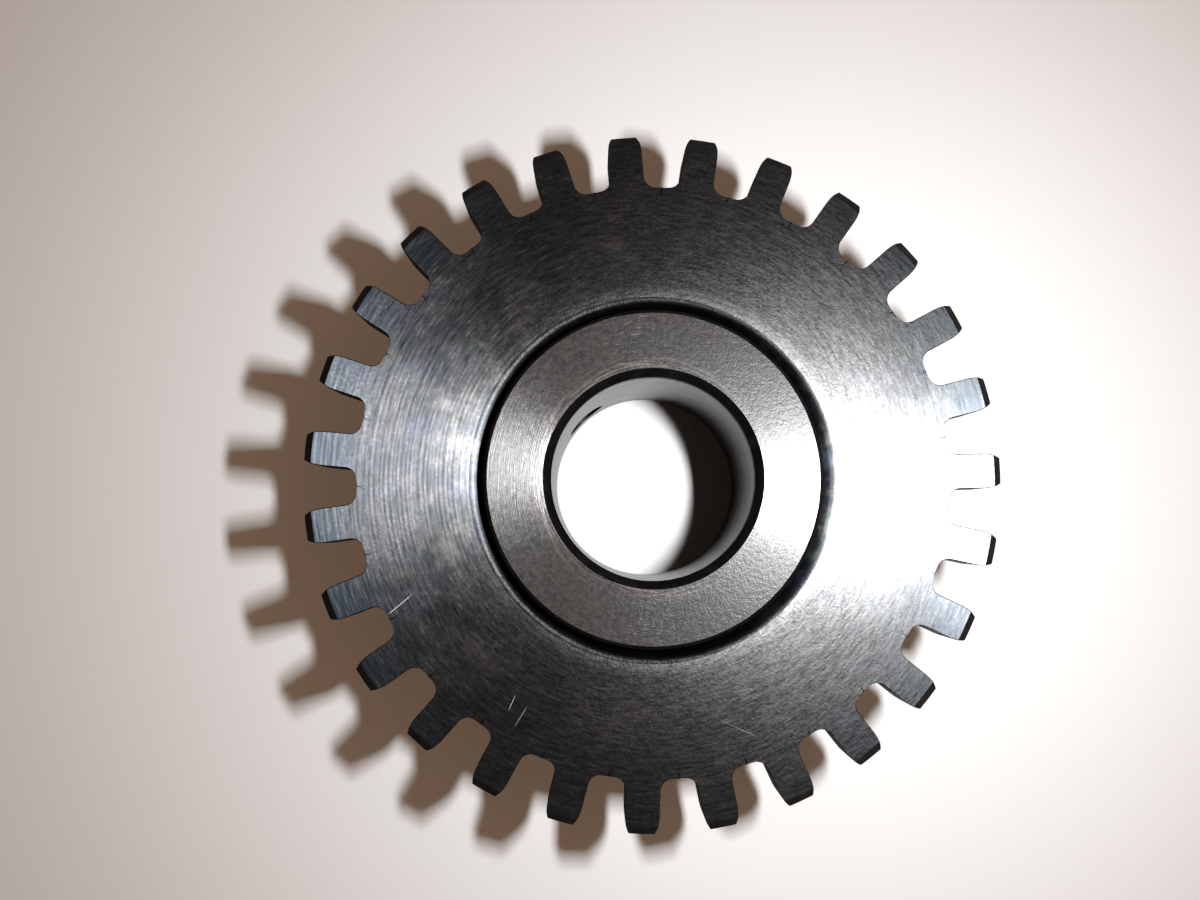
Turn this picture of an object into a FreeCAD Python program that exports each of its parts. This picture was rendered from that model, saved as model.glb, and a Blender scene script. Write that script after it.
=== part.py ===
import FreeCAD, Part
import math
import os

import Sketcher

# Spur gear with a raised hub, in millimetres. The origin is on the gear's axis in the plane of
# the hub's rear face, +Z points towards the front face, and a tooth lies 1.4 degrees above +X.

OUT = "parts"
os.makedirs(OUT, exist_ok=True)
doc = FreeCAD.newDocument("spur_gear")

# ---------------------------------------------------------------- driving dimensions
DIMENSIONS = {
    # toothed ring: 27 teeth of module 2.5
    "tooth_count": 27,
    "gear_module": 2.5,
    "addendum_factor": 1.0,
    "dedendum_factor": 1.25,
    "tooth_width": 3.56,
    "tooth_tip_width": 2.66,
    "tip_easing_length": 2.0,
    "root_fillet": 1.25,
    "tooth_angle": 1.4,
    # plate that carries the teeth
    "plate_thickness": 5.5,
    "plate_edge_chamfer": 0.8,
    "plate_bore_chamfer": 1.6,
    "plate_bore_chamfer_depth": 1.0,
    # hub
    "hub_length": 24.0,
    "hub_raise": 1.7,
    "hub_front_radius": 17.4,
    "hub_rear_radius": 21.0,
    "hub_edge_chamfer": 0.35,
    "hub_rear_chamfer": 1.0,
    "shaft_radius": 10.5,
    "mouth_radius": 11.3,
    "mouth_depth": 1.0,
    "lip_depth": 2.0,
    # bush pressed in behind the lip
    "bush_wall": 1.2,
    "bush_recess": 0.5,
    "bush_chamfer": 0.4,
    "bush_seat_chamfer": 0.5,
    "bush_hole_radius": 2.5,
    # grub screw and its hole
    "screw_angle": 133.0,
    "screw_height": 6.4,
    "screw_radius": 3.0,
    "screw_clearance": 0.05,
    "screw_length": 8.0,
    "screw_point_radius": 0.2,
    "screw_point_gap": 0.05,
    "screw_end_chamfer": 0.5,
    "socket_across_flats": 3.0,
    "socket_depth": 3.2,
    "hole_mouth_chamfer": 0.5,
}

sheet = doc.addObject("Spreadsheet::Sheet", "dims")
for row, (alias, value) in enumerate(DIMENSIONS.items(), start=1):
    sheet.set(f"A{row}", alias)
    sheet.set(f"B{row}", str(value))
    sheet.setAlias(f"B{row}", alias)
doc.recompute()

# Derived sizes, as expressions on the sheet's cells.
TIP_RADIUS = "((dims.tooth_count / 2 + dims.addendum_factor) * dims.gear_module)"
ROOT_RADIUS = "((dims.tooth_count / 2 - dims.dedendum_factor) * dims.gear_module)"
HALF_PITCH = "(180 / dims.tooth_count)"
PLATE_FRONT = "(dims.hub_length - dims.hub_raise)"
PLATE_REAR = "(dims.hub_length - dims.hub_raise - dims.plate_thickness)"
BUSH_SEAT_RADIUS = "(dims.shaft_radius + dims.bush_wall)"
BUSH_FRONT = "(dims.hub_length - dims.lip_depth)"
ZERO = "0"


def value_of(expression):
    """The number that an expression on the sheet comes to."""
    return float(sheet.evalExpression(expression))


# ---------------------------------------------------------------- helpers
def new_body(name):
    body = doc.addObject("PartDesign::Body", name)
    body.Label = name
    return body


def origin_feature(body, role):
    return next(f for f in body.Origin.OriginFeatures if f.Role == role)


def new_sketch(body, name, plane_role):
    sketch = body.newObject("Sketcher::SketchObject", name)
    sketch.AttachmentSupport = (origin_feature(body, plane_role), [""])
    sketch.MapMode = "FlatFace"
    return sketch


def bind(sketch, constraint, expression):
    """Add a constraint whose size is an expression on the sheet."""
    index = sketch.addConstraint(constraint)
    sketch.setExpression(f"Constraints[{index}]", expression)


def pin_point(sketch, edge, end, corner):
    """Hold one end of an edge at a corner, given as two expressions."""
    horizontal, vertical = corner
    if horizontal == ZERO:
        sketch.addConstraint(Sketcher.Constraint("PointOnObject", edge, end, -2))
    else:
        across = value_of(horizontal)
        bind(sketch, Sketcher.Constraint("DistanceX", -1, 1, edge, end, across), horizontal)
    if vertical == ZERO:
        sketch.addConstraint(Sketcher.Constraint("PointOnObject", edge, end, -1))
    else:
        up = value_of(vertical)
        bind(sketch, Sketcher.Constraint("DistanceY", -1, 1, edge, end, up), vertical)


def point_of(corner):
    return FreeCAD.Vector(value_of(corner[0]), value_of(corner[1]), 0)


def draw_polygon(sketch, corners):
    """A closed outline of straight edges through the corners."""
    points = [point_of(corner) for corner in corners]
    for start, end in zip(points, points[1:] + points[:1]):
        sketch.addGeometry(Part.LineSegment(start, end), False)
    count = len(corners)
    for edge, corner in enumerate(corners):
        sketch.addConstraint(Sketcher.Constraint("Coincident", (edge - 1) % count, 2, edge, 1))
        pin_point(sketch, edge, 1, corner)


def turn(body, name, corners):
    """Revolve an outline of (radius, height) corners about the body's Z axis."""
    sketch = new_sketch(body, name + "_section", "XZ_Plane")
    draw_polygon(sketch, corners)
    feature = body.newObject("PartDesign::Revolution", name)
    feature.Profile = sketch
    feature.ReferenceAxis = (sketch, ["V_Axis"])
    feature.Angle = 360
    sketch.Visibility = False
    doc.recompute()
    return feature


LEAST_CUT = 0.1  # mm3


def check_cut(body, before, what):
    """A cut that points away from the solid shows no error, so the volumes are compared."""
    if body.Shape.Volume > before - LEAST_CUT:
        raise RuntimeError(f"{what} cut nothing")


def cut_radial_hole(body, name, radius):
    """Cut a hole along the body's +X axis, from the gear's axis outwards."""
    before = body.Shape.Volume
    sketch = new_sketch(body, name + "_circle", "YZ_Plane")
    centre = FreeCAD.Vector(0, value_of("dims.screw_height"), 0)
    circle = Part.Circle(centre, FreeCAD.Vector(0, 0, 1), value_of(radius))
    sketch.addGeometry(circle, False)
    pin_point(sketch, 0, 3, (ZERO, "dims.screw_height"))
    bind(sketch, Sketcher.Constraint("Radius", 0, value_of(radius)), radius)
    pocket = body.newObject("PartDesign::Pocket", name)
    pocket.Profile = sketch
    pocket.Type = "Length"
    pocket.Reversed = True
    pocket.setExpression("Length", f"2 * {TIP_RADIUS}")
    sketch.Visibility = False
    doc.recompute()
    check_cut(body, before, name)
    return pocket


def about_axis(angle):
    return FreeCAD.Rotation(FreeCAD.Vector(0, 0, 1), angle)


# ---------------------------------------------------------------- toothed plate
def tooth_point(distance, offset):
    """A point beside the upper tooth's centre line, which lies half a pitch above +X: `distance`
    outwards along that line and `offset` from it towards the tooth space."""
    horizontal = f"({distance}) * cos({HALF_PITCH}) + ({offset}) * sin({HALF_PITCH})"
    vertical = f"({distance}) * sin({HALF_PITCH}) - ({offset}) * cos({HALF_PITCH})"
    return horizontal, vertical


def arc_between(start, end, radius, side):
    """A minor arc whose centre lies to the left (+1) or right (-1) of the way from start to end."""
    chord = end - start
    to_left = FreeCAD.Vector(-chord.y, chord.x, 0).normalize()
    middle = (start + end) * 0.5
    centre = middle + to_left * side * math.sqrt(radius ** 2 - (chord.Length / 2) ** 2)
    crown = centre + (middle - centre).normalize() * radius
    return Part.Arc(start, crown, end)


def draw_tooth_space(sketch):
    """The space between two teeth, mirrored about +X: straight flanks side by side with the teeth's
    centre lines, an eased corner at each tip, and a fillet down to the root circle."""
    half_width = "(dims.tooth_width / 2)"
    half_tip = "(dims.tooth_tip_width / 2)"
    narrowing = f"({half_width} - {half_tip})"
    easing = f"((dims.tip_easing_length ^ 2 + {narrowing} ^ 2) / (2 * {narrowing}))"
    tip_distance = f"sqrt({TIP_RADIUS} ^ 2 - {half_tip} ^ 2)"
    fillet_offset = f"({half_width} + dims.root_fillet)"
    fillet_distance = f"sqrt(({ROOT_RADIUS} + dims.root_fillet) ^ 2 - {fillet_offset} ^ 2)"
    root_share = f"({ROOT_RADIUS} / ({ROOT_RADIUS} + dims.root_fillet))"

    outside = tooth_point(f"{tip_distance} + dims.root_fillet", half_tip)
    tip = tooth_point(tip_distance, half_tip)
    flank_top = tooth_point(f"{tip_distance} - dims.tip_easing_length", half_width)
    flank_foot = tooth_point(fillet_distance, half_width)
    root = tooth_point(f"{root_share} * {fillet_distance}", f"{root_share} * {fillet_offset}")
    upper = [outside, tip, flank_top, flank_foot, root]

    above = [point_of(corner) for corner in upper]
    below = [FreeCAD.Vector(point.x, -point.y, 0) for point in above]
    easing_radius = value_of(easing)
    fillet_radius = value_of("dims.root_fillet")
    root_radius = value_of(ROOT_RADIUS)
    edges = [
        Part.LineSegment(above[0], above[1]),
        arc_between(above[1], above[2], easing_radius, -1),
        Part.LineSegment(above[2], above[3]),
        arc_between(above[3], above[4], fillet_radius, 1),
        arc_between(above[4], below[4], root_radius, -1),
        arc_between(below[4], below[3], fillet_radius, 1),
        Part.LineSegment(below[3], below[2]),
        arc_between(below[2], below[1], easing_radius, -1),
        Part.LineSegment(below[1], below[0]),
        Part.LineSegment(below[0], above[0]),
    ]
    for edge in edges:
        sketch.addGeometry(edge, False)

    def end_at(edge, point):
        near = (sketch.getPoint(edge, 1) - point).Length < (sketch.getPoint(edge, 2) - point).Length
        return 1 if near else 2

    count = len(edges)
    joints = above + below[::-1]
    for edge, point in enumerate(joints):
        before = (edge - 1) % count
        ends = (before, end_at(before, point), edge, end_at(edge, point))
        sketch.addConstraint(Sketcher.Constraint("Coincident", *ends))
    for edge, corner in enumerate(upper):
        pin_point(sketch, edge, end_at(edge, above[edge]), corner)
        mirrored = count - 1 - edge
        ends = (edge, end_at(edge, above[edge]), mirrored, end_at(mirrored, below[edge]))
        sketch.addConstraint(Sketcher.Constraint("Symmetric", *ends, -1))
    sketch.addConstraint(Sketcher.Constraint("Coincident", 4, 3, -1, 1))
    for edge, radius in ((1, easing), (3, "dims.root_fillet"), (5, "dims.root_fillet"), (7, easing)):
        bind(sketch, Sketcher.Constraint("Radius", edge, value_of(radius)), radius)


def make_toothed_plate():
    body = new_body("toothed_plate")
    chamfer = "dims.plate_edge_chamfer"
    seat = "dims.hub_front_radius"
    turn(body, "plate_turning", [
        (seat, PLATE_REAR),
        (f"{TIP_RADIUS} - {chamfer}", PLATE_REAR),
        (TIP_RADIUS, f"{PLATE_REAR} + {chamfer}"),
        (TIP_RADIUS, f"{PLATE_FRONT} - {chamfer}"),
        (f"{TIP_RADIUS} - {chamfer}", PLATE_FRONT),
        (f"{seat} + dims.plate_bore_chamfer", PLATE_FRONT),
        (seat, f"{PLATE_FRONT} - dims.plate_bore_chamfer_depth"),
    ])
    before = body.Shape.Volume
    sketch = new_sketch(body, "tooth_space_outline", "XY_Plane")
    draw_tooth_space(sketch)
    space = body.newObject("PartDesign::Pocket", "tooth_space")
    space.Profile = sketch
    space.Type = "Length"
    space.Reversed = True
    space.setExpression("Length", "dims.hub_length")
    sketch.Visibility = False
    doc.recompute()
    check_cut(body, before, "tooth_space")
    spaces = body.newObject("PartDesign::PolarPattern", "tooth_spaces")
    spaces.Originals = [space]
    spaces.Axis = (origin_feature(body, "Z_Axis"), [""])
    spaces.Angle = 360
    spaces.setExpression("Occurrences", "dims.tooth_count")
    body.Tip = spaces
    doc.recompute()
    turned = value_of(f"dims.tooth_angle + {HALF_PITCH}")
    body.Placement = FreeCAD.Placement(FreeCAD.Vector(0, 0, 0), about_axis(turned))
    return body


# ---------------------------------------------------------------- hub
def make_hub():
    body = new_body("hub_sleeve")
    edge = "dims.hub_edge_chamfer"
    rear_edge = "dims.hub_rear_chamfer"
    turn(body, "hub_turning", [
        (f"{BUSH_SEAT_RADIUS} + dims.bush_seat_chamfer", ZERO),
        (f"dims.hub_rear_radius - {rear_edge}", ZERO),
        ("dims.hub_rear_radius", rear_edge),
        ("dims.hub_rear_radius", f"{PLATE_REAR} - {edge}"),
        (f"dims.hub_rear_radius - {edge}", PLATE_REAR),
        ("dims.hub_front_radius", PLATE_REAR),
        ("dims.hub_front_radius", f"dims.hub_length - {edge}"),
        (f"dims.hub_front_radius - {edge}", "dims.hub_length"),
        ("dims.mouth_radius", "dims.hub_length"),
        ("dims.shaft_radius", "dims.hub_length - dims.mouth_depth"),
        ("dims.shaft_radius", BUSH_FRONT),
        (BUSH_SEAT_RADIUS, BUSH_FRONT),
        (BUSH_SEAT_RADIUS, "dims.bush_seat_chamfer"),
    ])
    cut_radial_hole(body, "screw_hole", "dims.screw_radius + dims.screw_clearance")
    hole = body.Tip
    reach = value_of(f"dims.hub_rear_radius - {rear_edge}")
    screw_radius = value_of("dims.screw_radius")
    mouth = [
        f"Edge{index}"
        for index, rim in enumerate(hole.Shape.Edges, start=1)
        if rim.BoundBox.XMin > reach and screw_radius < rim.BoundBox.YLength < 4 * screw_radius
    ]
    before = body.Shape.Volume
    chamfer = body.newObject("PartDesign::Chamfer", "screw_hole_mouth")
    chamfer.Base = (hole, mouth)
    chamfer.setExpression("Size", "dims.hole_mouth_chamfer")
    doc.recompute()
    check_cut(body, before, "screw_hole_mouth")
    turned = value_of("dims.screw_angle")
    body.Placement = FreeCAD.Placement(FreeCAD.Vector(0, 0, 0), about_axis(turned))
    return body


# ---------------------------------------------------------------- bush
def make_bush():
    body = new_body("bore_bush")
    chamfer = "dims.bush_chamfer"
    turn(body, "bush_turning", [
        (f"dims.shaft_radius + {chamfer}", "dims.bush_recess"),
        (f"{BUSH_SEAT_RADIUS} - {chamfer}", "dims.bush_recess"),
        (BUSH_SEAT_RADIUS, f"dims.bush_recess + {chamfer}"),
        (BUSH_SEAT_RADIUS, BUSH_FRONT),
        ("dims.shaft_radius", BUSH_FRONT),
        ("dims.shaft_radius", f"dims.bush_recess + {chamfer}"),
    ])
    cut_radial_hole(body, "bush_screw_hole", "dims.bush_hole_radius")
    turned = value_of("dims.screw_angle")
    body.Placement = FreeCAD.Placement(FreeCAD.Vector(0, 0, 0), about_axis(turned))
    return body


# ---------------------------------------------------------------- grub screw
def make_grub_screw():
    """Turned point-down along the body's Z axis, then laid along its hole."""
    body = new_body("grub_screw")
    cone = "(dims.screw_radius - dims.screw_point_radius)"
    end = "dims.screw_end_chamfer"
    turn(body, "screw_turning", [
        (ZERO, ZERO),
        ("dims.screw_point_radius", ZERO),
        ("dims.screw_radius", cone),
        ("dims.screw_radius", f"dims.screw_length - {end}"),
        (f"dims.screw_radius - {end}", "dims.screw_length"),
        (ZERO, "dims.screw_length"),
    ])
    before = body.Shape.Volume
    sketch = new_sketch(body, "hex_outline", "XY_Plane")
    sketch.setExpression("AttachmentOffset.Base.z", "dims.screw_length")
    corner_radius = "(dims.socket_across_flats / sqrt(3))"
    draw_polygon(sketch, [
        (corner_radius, ZERO),
        (f"{corner_radius} / 2", "dims.socket_across_flats / 2"),
        (f"-{corner_radius} / 2", "dims.socket_across_flats / 2"),
        (f"-{corner_radius}", ZERO),
        (f"-{corner_radius} / 2", "-dims.socket_across_flats / 2"),
        (f"{corner_radius} / 2", "-dims.socket_across_flats / 2"),
    ])
    socket = body.newObject("PartDesign::Pocket", "hex_socket")
    socket.Profile = sketch
    socket.Type = "Length"
    socket.setExpression("Length", "dims.socket_depth")
    sketch.Visibility = False
    doc.recompute()
    check_cut(body, before, "hex_socket")
    turned = value_of("dims.screw_angle")
    point_at = value_of("dims.shaft_radius + dims.screw_point_gap")
    seat = about_axis(turned).multVec(FreeCAD.Vector(point_at, 0, 0))
    seat.z = value_of("dims.screw_height")
    lay_down = FreeCAD.Rotation(FreeCAD.Vector(0, 1, 0), 90)
    body.Placement = FreeCAD.Placement(seat, about_axis(turned).multiply(lay_down))
    return body


# ---------------------------------------------------------------- build, check and write
bodies = [make_toothed_plate(), make_hub(), make_bush(), make_grub_screw()]
doc.recompute()

for item in doc.Objects:
    bad = {"Invalid", "Error"} & set(item.State)
    if bad:
        raise RuntimeError(f"{item.Name} is {sorted(bad)}")
for body in bodies:
    shape = body.Shape
    if shape.isNull() or not shape.isValid() or len(shape.Solids) != 1:
        raise RuntimeError(f"{body.Label} isn't one valid solid")
    box = shape.BoundBox
    print(f"{body.Label}: volume {shape.Volume:.1f} mm3, {box}")
for body in bodies:
    body.Shape.exportStep(os.path.join(OUT, body.Label + ".step"))
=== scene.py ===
import math

import bmesh
import bpy
from mathutils import Matrix, Vector


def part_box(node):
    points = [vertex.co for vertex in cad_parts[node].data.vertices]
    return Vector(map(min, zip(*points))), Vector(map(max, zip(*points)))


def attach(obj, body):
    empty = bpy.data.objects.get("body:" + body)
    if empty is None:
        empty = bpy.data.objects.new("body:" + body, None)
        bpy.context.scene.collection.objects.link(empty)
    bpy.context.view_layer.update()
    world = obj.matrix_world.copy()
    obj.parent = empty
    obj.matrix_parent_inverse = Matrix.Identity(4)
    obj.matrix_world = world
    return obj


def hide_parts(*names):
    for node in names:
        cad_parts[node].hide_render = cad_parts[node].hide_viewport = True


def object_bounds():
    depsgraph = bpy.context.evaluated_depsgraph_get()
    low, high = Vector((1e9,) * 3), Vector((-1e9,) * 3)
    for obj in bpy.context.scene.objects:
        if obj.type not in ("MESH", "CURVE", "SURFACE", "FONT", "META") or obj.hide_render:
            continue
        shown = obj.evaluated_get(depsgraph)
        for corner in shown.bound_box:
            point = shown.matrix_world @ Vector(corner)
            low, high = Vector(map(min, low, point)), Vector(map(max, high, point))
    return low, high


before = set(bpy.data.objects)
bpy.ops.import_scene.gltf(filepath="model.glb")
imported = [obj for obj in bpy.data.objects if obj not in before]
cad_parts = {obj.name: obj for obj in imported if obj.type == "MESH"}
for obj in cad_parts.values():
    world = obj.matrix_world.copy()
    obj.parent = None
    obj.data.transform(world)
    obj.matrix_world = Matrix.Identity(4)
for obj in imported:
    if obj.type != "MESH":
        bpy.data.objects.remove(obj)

cad_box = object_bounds()

# ---------------------------------------------------------------- sizes, in metres, on the gear's axis
MM = 0.001

plate_low, plate_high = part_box("toothed_plate")
_, hub_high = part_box("hub_sleeve")
bush_low, bush_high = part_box("bore_bush")

TEETH = 27
MODULE = 2.5 * MM
TIP_RADIUS = (TEETH / 2 + 1) * MODULE
ROOT_RADIUS = (TEETH / 2 - 1.25) * MODULE
TOOTH_WIDTH = 3.56 * MM
TOOTH_TIP_WIDTH = 2.66 * MM
TIP_EASING = 2.0 * MM
ROOT_FILLET = 1.25 * MM
TOOTH_ANGLE = math.radians(1.4)
HALF_PITCH = math.pi / TEETH
TIP_CHAMFER = 0.8 * MM
PLATE_BORE_CHAMFER = 1.6 * MM
PLATE_BORE_CHAMFER_DEPTH = 1.0 * MM
PLATE_BORE_CHAMFER_CROWN = 0.27 * MM

HUB_FRONT = hub_high.z
HUB_REAR_RADIUS = hub_high.x
HUB_FRONT_RADIUS = 17.4 * MM
HUB_EDGE = 0.35 * MM
HUB_REAR_EDGE = 1.0 * MM
SHAFT_RADIUS = 10.5 * MM
MOUTH_RADIUS = 11.3 * MM
MOUTH_DEPTH = 1.0 * MM
BUSH_RADIUS = bush_high.x
BUSH_EDGE = 0.4 * MM
BUSH_SEAT_EDGE = 0.5 * MM
BUSH_HOLE_RADIUS = 2.5 * MM
CUTTER_SPARE = 2.0 * MM

SCREW_ANGLE = math.radians(133.0)
SCREW_HEIGHT = 6.4 * MM
SCREW_RADIUS = 3.0 * MM
SCREW_HOLE_RADIUS = 3.05 * MM
SCREW_HOLE_MOUTH = 0.6 * MM
SCREW_LENGTH = 8.0 * MM
SCREW_START = SHAFT_RADIUS + 0.05 * MM
SCREW_POINT = 0.2 * MM
SCREW_END_CHAMFER = 0.5 * MM
THREAD_PITCH = 1.0 * MM
THREAD_DEPTH = 0.54 * MM
SOCKET_FLATS = 3.0 * MM
SOCKET_DEPTH = 3.2 * MM
SOCKET_EDGE = 0.12 * MM
SOCKET_FLOOR_DEPTH = 0.5 * MM
# The screw's axis lies along X in this frame.
SCREW_FRAME = Matrix.Translation((0, 0, SCREW_HEIGHT)) @ Matrix.Rotation(SCREW_ANGLE, 4, "Z")

FINE_EDGE = 0.1 * MM

# How finely curves are drawn.
CURVE_STEPS = 8
FLANK_STEPS = 4
CORNER_STEPS = 4
LATHE_SEGMENTS = 256
PEG_SEGMENTS = 72

# Less than these counts as no angle, in radians, and as no height.
NO_ANGLE = 1e-4
NO_HEIGHT = 1e-7
# A face whose normal has more than this along Z counts as level.
NEARLY_LEVEL = 0.98


# ---------------------------------------------------------------- shader helpers
class Nodes:
    """A thin wrapper that adds nodes to one material and links them."""

    def __init__(self, name):
        self.material = bpy.data.materials.new(name)
        self.material.use_nodes = True
        self.tree = self.material.node_tree
        self.shader = self.tree.nodes["Principled BSDF"]

    def add(self, kind, **settings):
        node = self.tree.nodes.new(kind)
        for key, value in settings.items():
            setattr(node, key, value)
        return node

    def feed(self, socket, source):
        if isinstance(source, (int, float, tuple)):
            socket.default_value = source
        else:
            self.tree.links.new(source, socket)

    def math(self, operation, *inputs):
        node = self.add("ShaderNodeMath", operation=operation)
        for socket, source in zip(node.inputs, inputs):
            self.feed(socket, source)
        return node.outputs[0]

    def vector_math(self, operation, *inputs):
        node = self.add("ShaderNodeVectorMath", operation=operation)
        for socket, source in zip(node.inputs, inputs):
            self.feed(socket, source)
        return node.outputs["Value" if operation == "LENGTH" else "Vector"]

    def combine(self, x, y, z):
        node = self.add("ShaderNodeCombineXYZ")
        for socket, source in zip(node.inputs, (x, y, z)):
            self.feed(socket, source)
        return node.outputs[0]

    def separate(self, source):
        node = self.add("ShaderNodeSeparateXYZ")
        self.feed(node.inputs[0], source)
        return node.outputs

    def noise(self, vector, scale, detail, roughness):
        node = self.add("ShaderNodeTexNoise")
        self.feed(node.inputs["Vector"], vector)
        node.inputs["Scale"].default_value = scale
        node.inputs["Detail"].default_value = detail
        node.inputs["Roughness"].default_value = roughness
        return node.outputs["Fac"]

    def fade(self, source, low, high, to_low=0.0, to_high=1.0, smooth=True):
        """Map a value from low..high to to_low..to_high, clamped."""
        node = self.add("ShaderNodeMapRange")
        node.interpolation_type = "SMOOTHSTEP" if smooth else "LINEAR"
        for index, value in enumerate((source, low, high, to_low, to_high)):
            self.feed(node.inputs[index], value)
        return node.outputs[0]

    def blend(self, amount, first, second):
        """Mix two colours. Sockets of other data types share their names, so these go by index."""
        node = self.add("ShaderNodeMix", data_type="RGBA")
        self.feed(node.inputs["Factor"], amount)
        self.feed(node.inputs[6], first)
        self.feed(node.inputs[7], second)
        return node.outputs[2]

    def bump(self, height, strength, distance, normal=None):
        node = self.add("ShaderNodeBump")
        node.inputs["Strength"].default_value = strength
        node.inputs["Distance"].default_value = distance
        self.feed(node.inputs["Height"], height)
        if normal is not None:
            self.feed(node.inputs["Normal"], normal)
        return node.outputs[0]

    def place(self):
        """Object coordinates in millimetres."""
        coordinates = self.add("ShaderNodeTexCoord").outputs["Object"]
        return self.vector_math("MULTIPLY", coordinates, (1 / MM, 1 / MM, 1 / MM))

    def round_the_axis(self, position):
        """Radius from the axis and the direction round it, both without a seam."""
        x, y, z = self.separate(position)
        radius = self.vector_math("LENGTH", self.combine(x, y, 0.0))
        cosine = self.math("DIVIDE", x, radius)
        sine = self.math("DIVIDE", y, radius)
        return radius, cosine, sine, z

    def ring_place(self, across, cosine, sine, scale):
        """A place for a noise of rings, which changes with across and, by scale, with the way round."""
        return self.combine(
            across, self.math("MULTIPLY", cosine, scale), self.math("MULTIPLY", sine, scale))

    def tangent_round_the_axis(self):
        return self.add("ShaderNodeTangent", direction_type="RADIAL", axis="Z").outputs[0]


def rgb(red, green, blue):
    return (red, green, blue, 1.0)


def scratch_mask(nodes, position, scratches):
    """1 on a few straight scratches, each (x, y, angle in degrees, length, width), in millimetres."""
    total = 0.0
    x, y, _ = nodes.separate(position)
    for at_x, at_y, angle, length, width in scratches:
        turn = math.radians(angle)
        dx = nodes.math("SUBTRACT", x, at_x)
        dy = nodes.math("SUBTRACT", y, at_y)
        along = nodes.math("ADD", nodes.math("MULTIPLY", dx, math.cos(turn)),
                           nodes.math("MULTIPLY", dy, math.sin(turn)))
        across = nodes.math("SUBTRACT", nodes.math("MULTIPLY", dy, math.cos(turn)),
                            nodes.math("MULTIPLY", dx, math.sin(turn)))
        on_length = nodes.fade(nodes.math("ABSOLUTE", along), length / 2, length / 4)
        on_width = nodes.fade(nodes.math("ABSOLUTE", across), width, width / 4)
        mark = nodes.math("MULTIPLY", on_length, on_width)
        total = nodes.math("MAXIMUM", mark, total)
    return total


# ---------------------------------------------------------------- materials
# The plate's few deeper scratches: (x, y, angle in degrees, length, width), in millimetres.
SCRATCHES = (
    (-13.5, -24.3, 58.0, 3.2, 0.09),
    (-14.4, -22.9, 66.0, 2.2, 0.07),
    (8.6, -25.4, -24.0, 5.4, 0.07),
    (-26.0, -13.0, 40.0, 3.6, 0.08),
)


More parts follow.
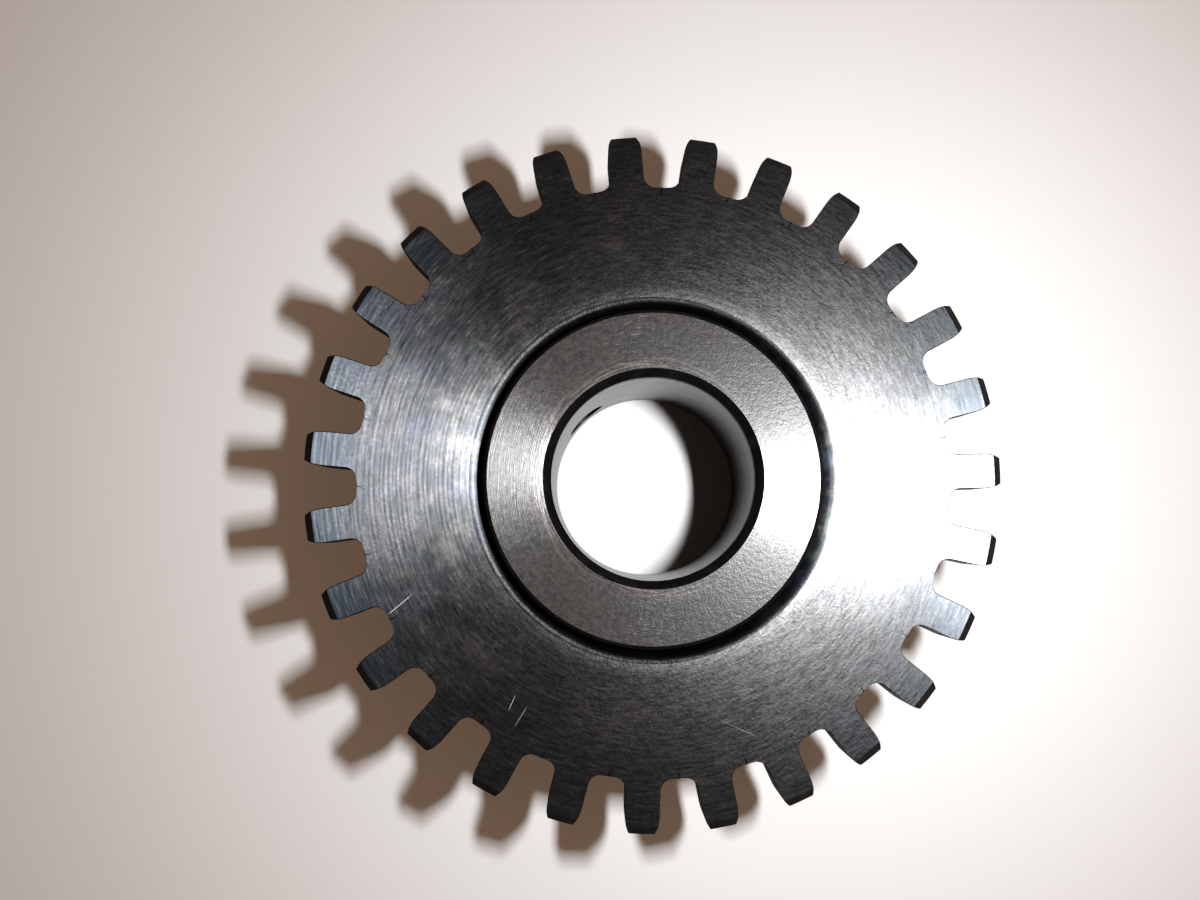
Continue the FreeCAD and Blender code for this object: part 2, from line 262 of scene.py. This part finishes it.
def turned_material(name, shades, wear, film):
    """Blackened steel, turned and then rubbed. Fine grooves round the axis throw a highlight across
    themselves, and a thin uneven film of oil spreads a second, softer one. Wear rubs it bright in places."""
    nodes = Nodes(name)
    shader = nodes.shader
    position = nodes.place()
    radius, cosine, sine, _ = nodes.round_the_axis(position)
    grooves = nodes.noise(nodes.ring_place(radius, cosine, sine, 0.6), 3.0, 0.0, 0.6)
    streaks = nodes.noise(nodes.ring_place(radius, cosine, sine, 4.0), 4.0, 3.0, 0.65)
    clouds = nodes.noise(position, 0.16, 5.0, 0.62)
    grain = nodes.noise(position, 5.0, 3.0, 0.65)
    specks = nodes.noise(position, 2.6, 4.0, 0.75)

    black, grey, bright = shades
    dark = nodes.blend(nodes.fade(clouds, 0.3, 0.7), black, grey)
    ragged_radius = nodes.math("ADD", radius, nodes.fade(specks, 0.2, 0.8, -2.0, 2.0))
    outer = nodes.fade(ragged_radius, 29.0, 34.0, 0.0, 0.8)
    tinted = nodes.blend(outer, dark, rgb(0.066, 0.080, 0.096))
    green_place = nodes.noise(nodes.vector_math("ADD", position, (31.0, 7.0, 3.0)), 0.2, 3.0, 0.6)
    tinted = nodes.blend(nodes.fade(green_place, 0.52, 0.72, 0.0, 0.5), tinted, rgb(0.07, 0.084, 0.075))
    blue_place = nodes.noise(position, 0.33, 3.0, 0.6)
    tinted = nodes.blend(nodes.fade(blue_place, 0.5, 0.75, 0.0, 0.35), tinted, rgb(0.062, 0.068, 0.115))
    streaked = nodes.blend(nodes.fade(streaks, 0.55, 0.8, 0.0, 0.45 * wear), tinted, bright)
    rubbed = nodes.math("MULTIPLY", nodes.fade(clouds, 0.42, 0.7), nodes.fade(specks, 0.45, 0.7))
    worn = nodes.blend(nodes.math("MULTIPLY", rubbed, 0.5 * wear), streaked, bright)
    smudge_place = nodes.noise(nodes.vector_math("ADD", position, (5.0, 19.0, 3.0)), 0.28, 5.0, 0.68)
    smudges = nodes.math("MULTIPLY", nodes.fade(smudge_place, 0.48, 0.7), nodes.fade(radius, 31.0, 21.0))
    smudged = nodes.blend(nodes.math("MULTIPLY", smudges, 0.35 * wear), worn, rgb(0.3, 0.275, 0.25))
    pitted = nodes.blend(nodes.fade(streaks, 0.46, 0.3, 0.0, 0.45), smudged, rgb(0.02, 0.021, 0.026))
    scratches = scratch_mask(nodes, position, SCRATCHES)
    nodes.feed(shader.inputs["Base Color"], nodes.blend(scratches, pitted, rgb(0.18, 0.18, 0.18)))
    rough = nodes.fade(streaks, 0.3, 0.7, 0.27, 0.31, smooth=False)
    nodes.feed(shader.inputs["Roughness"], nodes.math("ADD", rough, nodes.math("MULTIPLY", scratches, 0.08)))
    shader.inputs["Metallic"].default_value = 1.0
    shader.inputs["Anisotropic"].default_value = 1.0
    shader.inputs["Anisotropic Rotation"].default_value = 0.25
    oily = nodes.math("ADD", nodes.fade(specks, 0.3, 0.7, 0.0, 0.5), nodes.fade(streaks, 0.3, 0.7, 0.0, 0.5))
    nodes.feed(shader.inputs["Coat Weight"], nodes.fade(oily, 0.2, 0.8, 0.45 * film, film, smooth=False))
    shader.inputs["Coat Roughness"].default_value = 0.3
    shader.inputs["Coat IOR"].default_value = 1.8
    nodes.feed(shader.inputs["Tangent"], nodes.tangent_round_the_axis())
    lines = nodes.bump(grooves, 1.0, 0.03 * MM)
    nodes.feed(shader.inputs["Normal"], nodes.bump(scratches, 0.35, -0.01 * MM, lines))
    nodes.feed(shader.inputs["Coat Normal"], nodes.bump(grain, 1.0, 0.013 * MM))
    return nodes.material


def black_material(name, base, bright, metallic=0.85, gloss=0.5):
    """Blackened steel: base where the coating is whole, and towards bright where it is rubbed."""
    nodes = Nodes(name)
    shader = nodes.shader
    position = nodes.place()
    clouds = nodes.noise(position, 0.5, 4.0, 0.6)
    grain = nodes.noise(position, 5.0, 4.0, 0.7)
    base_colour = nodes.blend(nodes.fade(clouds, 0.35, 0.7), rgb(*base), rgb(*[1.7 * c for c in base]))
    rubbed = nodes.fade(nodes.math("MULTIPLY", clouds, grain), 0.3, 0.42, 0.0, 0.35)
    nodes.feed(shader.inputs["Base Color"], nodes.blend(rubbed, base_colour, rgb(*bright)))
    nodes.feed(shader.inputs["Roughness"], nodes.fade(grain, 0.3, 0.7, 0.45, 0.6, smooth=False))
    shader.inputs["Metallic"].default_value = metallic
    shader.inputs["Specular IOR Level"].default_value = gloss
    nodes.feed(shader.inputs["Normal"], nodes.bump(grain, 0.15, 0.02 * MM))
    return nodes.material


def hub_face_material():
    """Ground steel, matt and finely mottled, with rings worn bright round the bore."""
    nodes = Nodes("hub_face_steel")
    shader = nodes.shader
    position = nodes.place()
    radius, cosine, sine, _ = nodes.round_the_axis(position)
    ring = nodes.ring_place(radius, cosine, sine, 0.6)
    grooves = nodes.noise(ring, 10.0, 2.0, 0.6)
    streaks = nodes.noise(ring, 5.0, 3.0, 0.65)
    mottle = nodes.noise(position, 2.4, 4.0, 0.7)
    clouds = nodes.noise(position, 0.3, 3.0, 0.6)
    grey = nodes.blend(nodes.fade(mottle, 0.32, 0.68), rgb(0.062, 0.061, 0.062), rgb(0.1, 0.098, 0.097))
    grey = nodes.blend(nodes.fade(clouds, 0.35, 0.7, 0.0, 0.4), grey, rgb(0.088, 0.082, 0.078))
    grey = nodes.blend(nodes.fade(streaks, 0.5, 0.75, 0.0, 0.4), grey, rgb(0.125, 0.121, 0.118))
    near_bore = nodes.fade(radius, 13.0, 11.5)
    worn = nodes.math("MULTIPLY", near_bore, nodes.fade(streaks, 0.45, 0.62))
    grey = nodes.blend(nodes.math("MULTIPLY", worn, 0.7), grey, rgb(0.24, 0.222, 0.21))
    nodes.feed(shader.inputs["Base Color"], grey)
    rough = nodes.fade(mottle, 0.3, 0.7, 0.24, 0.29, smooth=False)
    nodes.feed(shader.inputs["Roughness"], rough)
    shader.inputs["Metallic"].default_value = 0.5
    shader.inputs["IOR"].default_value = 1.3
    shader.inputs["Coat Weight"].default_value = 0.35
    shader.inputs["Coat Roughness"].default_value = 0.25
    shader.inputs["Anisotropic"].default_value = 1.0
    shader.inputs["Anisotropic Rotation"].default_value = 0.25
    nodes.feed(shader.inputs["Tangent"], nodes.tangent_round_the_axis())
    lines = nodes.bump(grooves, 1.0, 0.028 * MM)
    nodes.feed(shader.inputs["Normal"], nodes.bump(mottle, 0.2, 0.01 * MM, lines))
    nodes.feed(shader.inputs["Coat Normal"], nodes.bump(mottle, 1.0, 0.03 * MM))
    return nodes.material


def bush_material():
    """Bright honed steel: fine rings round the bore and a faint warm cast."""
    nodes = Nodes("bush_steel")
    shader = nodes.shader
    position = nodes.place()
    _, cosine, sine, z = nodes.round_the_axis(position)
    ring = nodes.ring_place(nodes.math("MULTIPLY", z, 4.0), cosine, sine, 2.5)
    honing = nodes.noise(ring, 1.4, 4.0, 0.7)
    clouds = nodes.noise(position, 0.35, 3.0, 0.6)
    bright = nodes.blend(nodes.fade(clouds, 0.35, 0.7), rgb(0.072, 0.069, 0.068), rgb(0.096, 0.091, 0.09))
    lined = nodes.blend(nodes.fade(honing, 0.5, 0.75, 0.0, 0.35), bright, rgb(0.05, 0.048, 0.047))
    nodes.feed(shader.inputs["Base Color"], lined)
    nodes.feed(shader.inputs["Roughness"], nodes.fade(honing, 0.3, 0.7, 0.30, 0.42, smooth=False))
    shader.inputs["Metallic"].default_value = 1.0
    nodes.feed(shader.inputs["Normal"], nodes.bump(honing, 0.12, 0.02 * MM))
    return nodes.material


def table_material():
    nodes = Nodes("pale_table")
    shader = nodes.shader
    position = nodes.place()
    soft = nodes.noise(position, 0.012, 3.0, 0.5)
    paper = nodes.noise(position, 0.9, 4.0, 0.6)
    pale = nodes.blend(soft, rgb(0.80, 0.775, 0.765), rgb(0.83, 0.815, 0.81))
    nodes.feed(shader.inputs["Base Color"], pale)
    nodes.feed(shader.inputs["Roughness"], nodes.fade(paper, 0.3, 0.7, 0.6, 0.75, smooth=False))
    nodes.feed(shader.inputs["Normal"], nodes.bump(paper, 0.05, 0.1 * MM))
    return nodes.material


PLATE = turned_material(
    "plate_steel", (rgb(0.045, 0.048, 0.053), rgb(0.088, 0.088, 0.093), rgb(0.25, 0.25, 0.252)),
    wear=1.0, film=0.75)
# The bore chamfer round the hub: a far darker copy of the plate's turned steel, painted shade for the recess
# between hub and plate.
RING_PAINTED_SHADE = turned_material(
    "ring_steel_painted_shade", (rgb(0.012, 0.013, 0.015), rgb(0.018, 0.020, 0.021), rgb(0.045, 0.046, 0.048)),
    wear=0.4, film=0.25)
BLACK = black_material("black_steel", (0.022, 0.021, 0.023), (0.11, 0.105, 0.1))
# Tooth walls, tip chamfers and fine edges: blackened steel made far darker and duller than the plate's,
# painted shade on the steep faces.
FLANK_PAINTED_SHADE = black_material(
    "flank_steel_painted_shade", (0.013, 0.0125, 0.013), (0.05, 0.048, 0.046), metallic=0.0, gloss=0.1)
HUB_FACE = hub_face_material()
BUSH = bush_material()
SCREW = black_material("screw_steel", (0.035, 0.035, 0.038), (0.3, 0.29, 0.28))


# ---------------------------------------------------------------- mesh helpers
def new_piece(name, mesh_builder, materials):
    """Make an object from a bmesh; its faces already carry their material's index."""
    mesh = bpy.data.meshes.new(name)
    mesh_builder.to_mesh(mesh)
    mesh_builder.free()
    for material in materials:
        mesh.materials.append(material)
    mesh.shade_smooth()
    piece = bpy.data.objects.new(name, mesh)
    bpy.context.scene.collection.objects.link(piece)
    return piece


def even_shading(piece):
    """Let the large faces set the normals, so that they stay flat beside the small round edges."""
    modifier = piece.modifiers.new("even_shading", "WEIGHTED_NORMAL")
    modifier.weight = 100
    modifier.keep_sharp = True


def round_corners(outline, radius):
    """Replace each corner of a closed (radius, height) outline by a small arc."""
    longest_share = 0.45
    rounded = []
    count = len(outline)
    for index in range(count):
        before = Vector(outline[index - 1])
        corner = Vector(outline[index])
        after = Vector(outline[(index + 1) % count])
        to_before = (before - corner).normalized()
        to_after = (after - corner).normalized()
        half = to_before.angle(to_after) / 2
        shorter_side = min((before - corner).length, (after - corner).length)
        reach = min(radius / math.tan(half), longest_share * shorter_side)
        start = corner + to_before * reach
        end = corner + to_after * reach
        arc_radius = reach * math.tan(half)
        centre = corner + (to_before + to_after).normalized() * (reach / math.cos(half))
        first = start - centre
        last = (end - centre)
        for step in range(CORNER_STEPS + 1):
            share = step / CORNER_STEPS
            direction = first.slerp(last, share) if first.angle(last) > NO_ANGLE else first
            rounded.append(tuple(centre + direction.normalized() * arc_radius))
    return rounded


def lathe(outline, slot_of):
    """Turn a closed (radius, height) outline about Z. slot_of picks a face's slot by its normal's z."""
    mesh = bmesh.new()
    rings = []
    for segment in range(LATHE_SEGMENTS):
        angle = 2 * math.pi * segment / LATHE_SEGMENTS
        rings.append([mesh.verts.new((r * math.cos(angle), r * math.sin(angle), z)) for r, z in outline])
    count = len(outline)
    for segment in range(LATHE_SEGMENTS):
        here = rings[segment]
        there = rings[(segment + 1) % LATHE_SEGMENTS]
        for index in range(count):
            follow = (index + 1) % count
            mesh.faces.new((here[index], there[index], there[follow], here[follow]))
    bmesh.ops.recalc_face_normals(mesh, faces=mesh.faces)
    mesh.normal_update()
    for face in mesh.faces:
        face.material_index = slot_of(face.normal.z)
    return mesh


# ---------------------------------------------------------------- toothed plate
# EDGE_SLOT takes the flank steel, which is painted shade on tooth walls, tip chamfers and edges.
# RING_SLOT takes the ring steel, which is painted shade on the bore chamfer.
FACE_SLOT, EDGE_SLOT, RING_SLOT = range(3)


def tooth_side():
    """One side of a tooth from the root circle to the tip, as (radius, angle from the tooth's middle)."""
    points = []
    half_width = TOOTH_WIDTH / 2
    half_tip = TOOTH_TIP_WIDTH / 2
    fillet_out = half_width + ROOT_FILLET
    fillet_up = math.sqrt((ROOT_RADIUS + ROOT_FILLET) ** 2 - fillet_out ** 2)
    fillet_start = math.radians(270) - math.atan2(fillet_out, fillet_up)
    fillet_end = math.radians(180)
    for step in range(CURVE_STEPS + 1):
        turn = fillet_start + (fillet_end - fillet_start) * step / CURVE_STEPS
        along = fillet_up + ROOT_FILLET * math.sin(turn)
        out = fillet_out + ROOT_FILLET * math.cos(turn)
        points.append((along, out))
    tip_up = math.sqrt(TIP_RADIUS ** 2 - half_tip ** 2)
    easing_start = tip_up - TIP_EASING
    narrowing = half_width - half_tip
    easing_radius = (TIP_EASING ** 2 + narrowing ** 2) / (2 * narrowing)
    for step in range(1, FLANK_STEPS):
        points.append((fillet_up + (easing_start - fillet_up) * step / FLANK_STEPS, half_width))
    for step in range(CURVE_STEPS + 1):
        rise = TIP_EASING * step / CURVE_STEPS
        drop = easing_radius - math.sqrt(easing_radius ** 2 - rise ** 2)
        points.append((easing_start + rise, half_width - drop))
    side = [(math.hypot(along, out), math.atan2(out, along)) for along, out in points]
    chamfer_start = TIP_RADIUS - TIP_CHAMFER
    above = next(index for index, point in enumerate(side) if point[0] > chamfer_start)
    low, high = side[above - 1], side[above]
    share = (chamfer_start - low[0]) / (high[0] - low[0])
    side.insert(above, (chamfer_start, low[1] + (high[1] - low[1]) * share))
    return side


def toothed_plate():
    """The plate as an all-quad grid: rings from the bore to the root circle, then each tooth in rows."""
    across_tooth = 8
    across_space = 2
    face_steps = 8
    chamfer_steps = 5
    side = tooth_side()
    root_angle = side[0][1]
    columns = []
    for tooth in range(TEETH):
        middle = TOOTH_ANGLE + 2 * HALF_PITCH * tooth
        for step in range(across_tooth):
            columns.append(middle - root_angle + 2 * root_angle * step / across_tooth)
        space = 2 * (HALF_PITCH - root_angle)
        for step in range(across_space):
            columns.append(middle + root_angle + space * step / across_space)
    per_pitch = across_tooth + across_space
    front, rear = plate_high.z, plate_low.z
    seat = HUB_FRONT_RADIUS
    chamfer_out = seat + PLATE_BORE_CHAMFER

    def height(radius, face):
        """Height of the front (face 1) or rear (face 0) surface at a radius, with the tip chamfer."""
        drop = max(0.0, radius - (TIP_RADIUS - TIP_CHAMFER))
        return front - drop if face else rear + drop

    mesh = bmesh.new()

    def ring(radius, z):
        return [mesh.verts.new((radius * math.cos(a), radius * math.sin(a), z)) for a in columns]

    def bridge(inner, outer, slot):
        count = len(inner)
        for index in range(count):
            follow = (index + 1) % count
            face = mesh.faces.new((inner[index], outer[index], outer[follow], inner[follow]))
            face.material_index = slot

    face_width = ROOT_RADIUS - chamfer_out
    face_radii = [chamfer_out + face_width * step / face_steps for step in range(face_steps + 1)]
    front_rings = [ring(radius, front) for radius in face_radii]
    rear_rings = [ring(radius, rear) for radius in [seat] + face_radii[1:]]
    chamfer_rings = []
    for step in range(chamfer_steps):
        share = step / chamfer_steps
        crown = PLATE_BORE_CHAMFER_CROWN * math.sin(math.pi * share)
        chamfer_rings.append(ring(seat + (chamfer_out - seat) * share,
                                  front - PLATE_BORE_CHAMFER_DEPTH * (1 - share) + crown))
    for rings in (front_rings, rear_rings):
        for inner, outer in zip(rings, rings[1:]):
            bridge(inner, outer, FACE_SLOT)
    chamfer_path = chamfer_rings + [front_rings[0]]
    for inner, outer in zip(chamfer_path, chamfer_path[1:]):
        bridge(inner, outer, RING_SLOT)
    bridge(rear_rings[0], chamfer_rings[0], RING_SLOT)

    surfaces = []
    for face, root_ring in ((1, front_rings[-1]), (0, rear_rings[-1])):
        teeth = []
        for tooth in range(TEETH):
            middle = TOOTH_ANGLE + 2 * HALF_PITCH * tooth
            first = tooth * per_pitch
            rows = [[root_ring[(first + step) % len(root_ring)] for step in range(across_tooth + 1)]]
            for radius, angle in side[1:]:
                z = height(radius, face)
                row = []
                for step in range(across_tooth + 1):
                    a = middle - angle + 2 * angle * step / across_tooth
                    row.append(mesh.verts.new((radius * math.cos(a), radius * math.sin(a), z)))
                rows.append(row)
            for lower, upper in zip(rows, rows[1:]):
                chamfered = abs(upper[0].co.z - (front if face else rear)) > NO_HEIGHT
                for step in range(across_tooth):
                    quad = mesh.faces.new((lower[step], upper[step], upper[step + 1], lower[step + 1]))
                    quad.material_index = EDGE_SLOT if chamfered else FACE_SLOT
            teeth.append(rows)
        surfaces.append((root_ring, teeth))

    (top_ring, top_teeth), (bottom_ring, bottom_teeth) = surfaces

    def wall(top, bottom):
        for index in range(len(top) - 1):
            quad = mesh.faces.new((top[index], bottom[index], bottom[index + 1], top[index + 1]))
            quad.material_index = EDGE_SLOT

    for tooth in range(TEETH):
        top, bottom = top_teeth[tooth], bottom_teeth[tooth]
        wall([row[0] for row in top], [row[0] for row in bottom])
        wall(top[-1], bottom[-1])
        wall([row[-1] for row in reversed(top)], [row[-1] for row in reversed(bottom)])
        start = tooth * per_pitch + across_tooth
        count = len(top_ring)
        wall([top_ring[(start + step) % count] for step in range(across_space + 1)],
             [bottom_ring[(start + step) % count] for step in range(across_space + 1)])
    bmesh.ops.recalc_face_normals(mesh, faces=mesh.faces)
    return mesh


def add_fine_edges(piece, width):
    modifier = piece.modifiers.new("fine_edges", "BEVEL")
    modifier.width = width
    modifier.segments = 3
    modifier.limit_method = "ANGLE"
    modifier.angle_limit = math.radians(15)
    # The rounded edges take the flank steel, painted shade like the tooth walls.
    modifier.material = EDGE_SLOT
    modifier.harden_normals = True


plate = new_piece("toothed_plate_metal", toothed_plate(), [PLATE, FLANK_PAINTED_SHADE, RING_PAINTED_SHADE])
add_fine_edges(plate, FINE_EDGE)
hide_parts("toothed_plate")
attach(plate, "gear")


# ---------------------------------------------------------------- hub and bush
def hole_cutter(radius, start, end, mouth):
    """A closed peg along the screw's axis. A mouth flares it from that far under the hub's surface."""
    mesh = bmesh.new()
    stations = [(start, radius)]
    flare = 0.0
    if mouth:
        flare_start = HUB_REAR_RADIUS - mouth
        stations.append((flare_start, radius))
        flare = end - flare_start
    stations.append((end, radius + flare))
    turns = [2 * math.pi * step / PEG_SEGMENTS for step in range(PEG_SEGMENTS)]
    rings = [[mesh.verts.new((along, size * math.cos(turn), size * math.sin(turn))) for turn in turns]
             for along, size in stations]
    for inner, outer in zip(rings, rings[1:]):
        for step in range(PEG_SEGMENTS):
            follow = (step + 1) % PEG_SEGMENTS
            mesh.faces.new((inner[step], outer[step], outer[follow], inner[follow]))
    mesh.faces.new(rings[0])
    mesh.faces.new(rings[-1])
    bmesh.ops.recalc_face_normals(mesh, faces=mesh.faces)
    mesh.transform(SCREW_FRAME)
    return new_piece("hole_cutter", mesh, [BLACK])


def cut_hole(piece, cutter):
    """Cut the peg out of the piece for good; the new wall takes the cutter's black finish, which in the
    bright bush is painted shade inside the hole.
    """
    modifier = piece.modifiers.new("cut", "BOOLEAN")
    modifier.operation = "DIFFERENCE"
    modifier.solver = "EXACT"
    modifier.material_mode = "TRANSFER"
    modifier.object = cutter
    bpy.context.view_layer.update()
    graph = bpy.context.evaluated_depsgraph_get()
    cut = bpy.data.meshes.new_from_object(piece.evaluated_get(graph), depsgraph=graph)
    piece.modifiers.clear()
    old = piece.data
    piece.data = cut
    bpy.data.meshes.remove(old)
    bpy.data.objects.remove(cutter)
    piece.data.set_sharp_from_angle(angle=math.radians(30))


HUB_OUTLINE = (
    (BUSH_RADIUS + BUSH_SEAT_EDGE, 0.0),
    (HUB_REAR_RADIUS - HUB_REAR_EDGE, 0.0),
    (HUB_REAR_RADIUS, HUB_REAR_EDGE),
    (HUB_REAR_RADIUS, plate_low.z - HUB_EDGE),
    (HUB_REAR_RADIUS - HUB_EDGE, plate_low.z),
    (HUB_FRONT_RADIUS, plate_low.z),
    (HUB_FRONT_RADIUS, HUB_FRONT - HUB_EDGE),
    (HUB_FRONT_RADIUS - HUB_EDGE, HUB_FRONT),
    (MOUTH_RADIUS, HUB_FRONT),
    (SHAFT_RADIUS, HUB_FRONT - MOUTH_DEPTH),
    (SHAFT_RADIUS, bush_high.z),
    (BUSH_RADIUS, bush_high.z),
    (BUSH_RADIUS, BUSH_SEAT_EDGE),
)
BUSH_OUTLINE = (
    (SHAFT_RADIUS + BUSH_EDGE, bush_low.z),
    (BUSH_RADIUS - BUSH_EDGE, bush_low.z),
    (BUSH_RADIUS, bush_low.z + BUSH_EDGE),
    (BUSH_RADIUS, bush_high.z),
    (SHAFT_RADIUS, bush_high.z),
    (SHAFT_RADIUS, bush_low.z + BUSH_EDGE),
)

hub = new_piece(
    "hub_sleeve_metal",
    lathe(round_corners(HUB_OUTLINE, FINE_EDGE), lambda up: 0 if abs(up) > NEARLY_LEVEL else 1),
    [HUB_FACE, BLACK],
)
cut_hole(hub, hole_cutter(
    SCREW_HOLE_RADIUS, SHAFT_RADIUS, HUB_REAR_RADIUS + CUTTER_SPARE, SCREW_HOLE_MOUTH))
even_shading(hub)
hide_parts("hub_sleeve")
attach(hub, "gear")

bush = new_piece(
    "bore_bush_metal",
    lathe(round_corners(BUSH_OUTLINE, FINE_EDGE / 2), lambda up: 0),
    [BUSH, BLACK],
)
# The bush's hole wall turns black: painted shade inside the hole in the bright bush.
cut_hole(bush, hole_cutter(
    BUSH_HOLE_RADIUS, SHAFT_RADIUS - CUTTER_SPARE, BUSH_RADIUS + CUTTER_SPARE, mouth=0.0))
even_shading(bush)
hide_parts("bore_bush")
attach(bush, "gear")


# ---------------------------------------------------------------- grub screw
def grub_screw():
    """Threaded skin as a grid wound round the screw's axis, with a cone point and a hex socket."""
    around = 96
    rows = 160
    crest = 0.125
    mesh = bmesh.new()
    grid = []

    def skin(along, turn):
        """Radius of the thread at a distance from the point, limited by the cone and the end chamfer."""
        phase = (along / THREAD_PITCH - turn) % 1.0
        ramp = abs(phase - 0.5) * 2
        groove = min(1.0, max(0.0, (ramp - crest) / (1 - 2 * crest)))
        thread = SCREW_RADIUS - THREAD_DEPTH * groove
        cone = SCREW_POINT + along
        end = SCREW_RADIUS - SCREW_END_CHAMFER + (SCREW_LENGTH - along)
        return min(thread, cone, end)

    for row in range(rows + 1):
        along = SCREW_LENGTH * row / rows
        grid.append([])
        for step in range(around):
            turn = step / around
            size = skin(along, turn)
            angle = 2 * math.pi * turn
            grid[row].append(mesh.verts.new((size * math.cos(angle), size * math.sin(angle), along)))
    for lower, upper in zip(grid, grid[1:]):
        for step in range(around):
            follow = (step + 1) % around
            mesh.faces.new((lower[step], lower[follow], upper[follow], upper[step]))
    tip = mesh.verts.new((0, 0, 0))
    for step in range(around):
        mesh.faces.new((grid[0][(step + 1) % around], grid[0][step], tip))

    def hexagon(across_flats, along):
        ring = []
        for step in range(around):
            angle = 2 * math.pi * step / around
            off_flat = (angle + math.pi / 6) % (math.pi / 3) - math.pi / 6
            size = across_flats / 2 / math.cos(off_flat)
            ring.append(mesh.verts.new((size * math.cos(angle), size * math.sin(angle), along)))
        return ring

    path = [
        grid[-1],
        hexagon(SOCKET_FLATS + 2 * SOCKET_EDGE, SCREW_LENGTH),
        hexagon(SOCKET_FLATS, SCREW_LENGTH - SOCKET_EDGE),
        hexagon(SOCKET_FLATS, SCREW_LENGTH - SOCKET_DEPTH),
    ]
    for outer, inner in zip(path, path[1:]):
        for step in range(around):
            follow = (step + 1) % around
            mesh.faces.new((outer[step], outer[follow], inner[follow], inner[step]))
    floor = mesh.verts.new((0, 0, SCREW_LENGTH - SOCKET_DEPTH - SOCKET_FLOOR_DEPTH))
    for step in range(around):
        mesh.faces.new((path[-1][step], path[-1][(step + 1) % around], floor))
    bmesh.ops.recalc_face_normals(mesh, faces=mesh.faces)
    lay_down = Matrix.Rotation(math.radians(90), 4, "Y")
    mesh.transform(SCREW_FRAME @ Matrix.Translation((SCREW_START, 0, 0)) @ lay_down)
    return mesh


screw = new_piece("grub_screw_metal", grub_screw(), [SCREW])
screw.data.set_sharp_from_angle(angle=math.radians(35))
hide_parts("grub_screw")
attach(screw, "grub_screw")


# ---------------------------------------------------------------- table, camera and light
TABLE_SIZE = 3.0
TABLE_GAP = 0.05 * MM
CAMERA_PLACE = (-6.2 * MM, -5.7 * MM, HUB_FRONT + 127.3 * MM)
CAMERA_TIP = math.radians(-3.85)
CAMERA_LEAN = math.radians(0.33)
FLASH_PLACE = (31.9 * MM, 1.9 * MM, HUB_FRONT + 97.3 * MM)
FLASH_AIM = (12 * MM, 0, 0)
FLASH_SIZE = (13 * MM, 5 * MM)
FLASH_WATTS = 0.108
FLASH_COLOUR = (0.97, 0.985, 1.0)
# Points of the tone curve, each (light, shown).
TONES = ((0.02, 0.009), (0.05, 0.031), (0.1, 0.084), (0.18, 0.18))


def table_top():
    mesh = bmesh.new()
    bmesh.ops.create_grid(mesh, x_segments=8, y_segments=8, size=TABLE_SIZE)
    table = new_piece("table_top", mesh, [table_material()])
    table.location = (0, 0, cad_box[0][2] - TABLE_GAP)


def add_camera():
    """Looks down the bore from a little to the left and below, tipped by under four degrees."""
    data = bpy.data.cameras.new("camera")
    camera = bpy.data.objects.new("camera", data)
    bpy.context.scene.collection.objects.link(camera)
    tip = Matrix.Rotation(CAMERA_TIP, 3, "X") @ Matrix.Rotation(CAMERA_LEAN, 3, "Y")
    camera.matrix_world = Matrix.Translation(CAMERA_PLACE) @ tip.transposed().to_4x4()
    data.sensor_width = 36.0
    data.lens = 37.5
    data.clip_start = 0.005
    bpy.context.scene.camera = camera


def add_area_light(name, place, towards, size, watts, colour):
    data = bpy.data.lights.new(name, "AREA")
    data.shape = "RECTANGLE"
    data.size, data.size_y = size
    data.energy = watts
    data.color = colour
    data.spread = math.radians(130)
    light = bpy.data.objects.new(name, data)
    bpy.context.scene.collection.objects.link(light)
    direction = (Vector(towards) - Vector(place)).normalized()
    light.matrix_world = Matrix.Translation(place) @ direction.to_track_quat("-Z", "Y").to_matrix().to_4x4()


def add_room():
    """A warm room: pale walls all round, and dark overhead, where the camera and its holder are."""
    world = bpy.data.worlds.new("room")
    world.use_nodes = True
    tree = world.node_tree
    background = tree.nodes["Background"]
    background.inputs["Color"].default_value = rgb(1.0, 0.73, 0.55)
    place = tree.nodes.new("ShaderNodeTexCoord").outputs["Generated"]
    parts = tree.nodes.new("ShaderNodeSeparateXYZ")
    tree.links.new(place, parts.inputs[0])
    strength = tree.nodes.new("ShaderNodeMapRange")
    strength.interpolation_type = "SMOOTHSTEP"
    for name, value in (("From Min", 0.55), ("From Max", 0.95), ("To Min", 0.38), ("To Max", 0.05)):
        strength.inputs[name].default_value = value
    tree.links.new(parts.outputs["Z"], strength.inputs["Value"])
    tree.links.new(strength.outputs["Result"], background.inputs["Strength"])
    bpy.context.scene.world = world


def set_tones():
    """Plain colours, with the blacks pressed down a little, as a small camera does."""
    view = bpy.context.scene.view_settings
    view.view_transform = "Standard"
    view.use_curve_mapping = True
    curve = view.curve_mapping.curves[3]  # the one for all three colours together
    for light, shown in TONES:
        curve.points.new(light, shown)
    view.curve_mapping.update()


table_top()
add_camera()
add_area_light("key", FLASH_PLACE, FLASH_AIM, FLASH_SIZE, FLASH_WATTS, FLASH_COLOUR)
add_room()
set_tones()
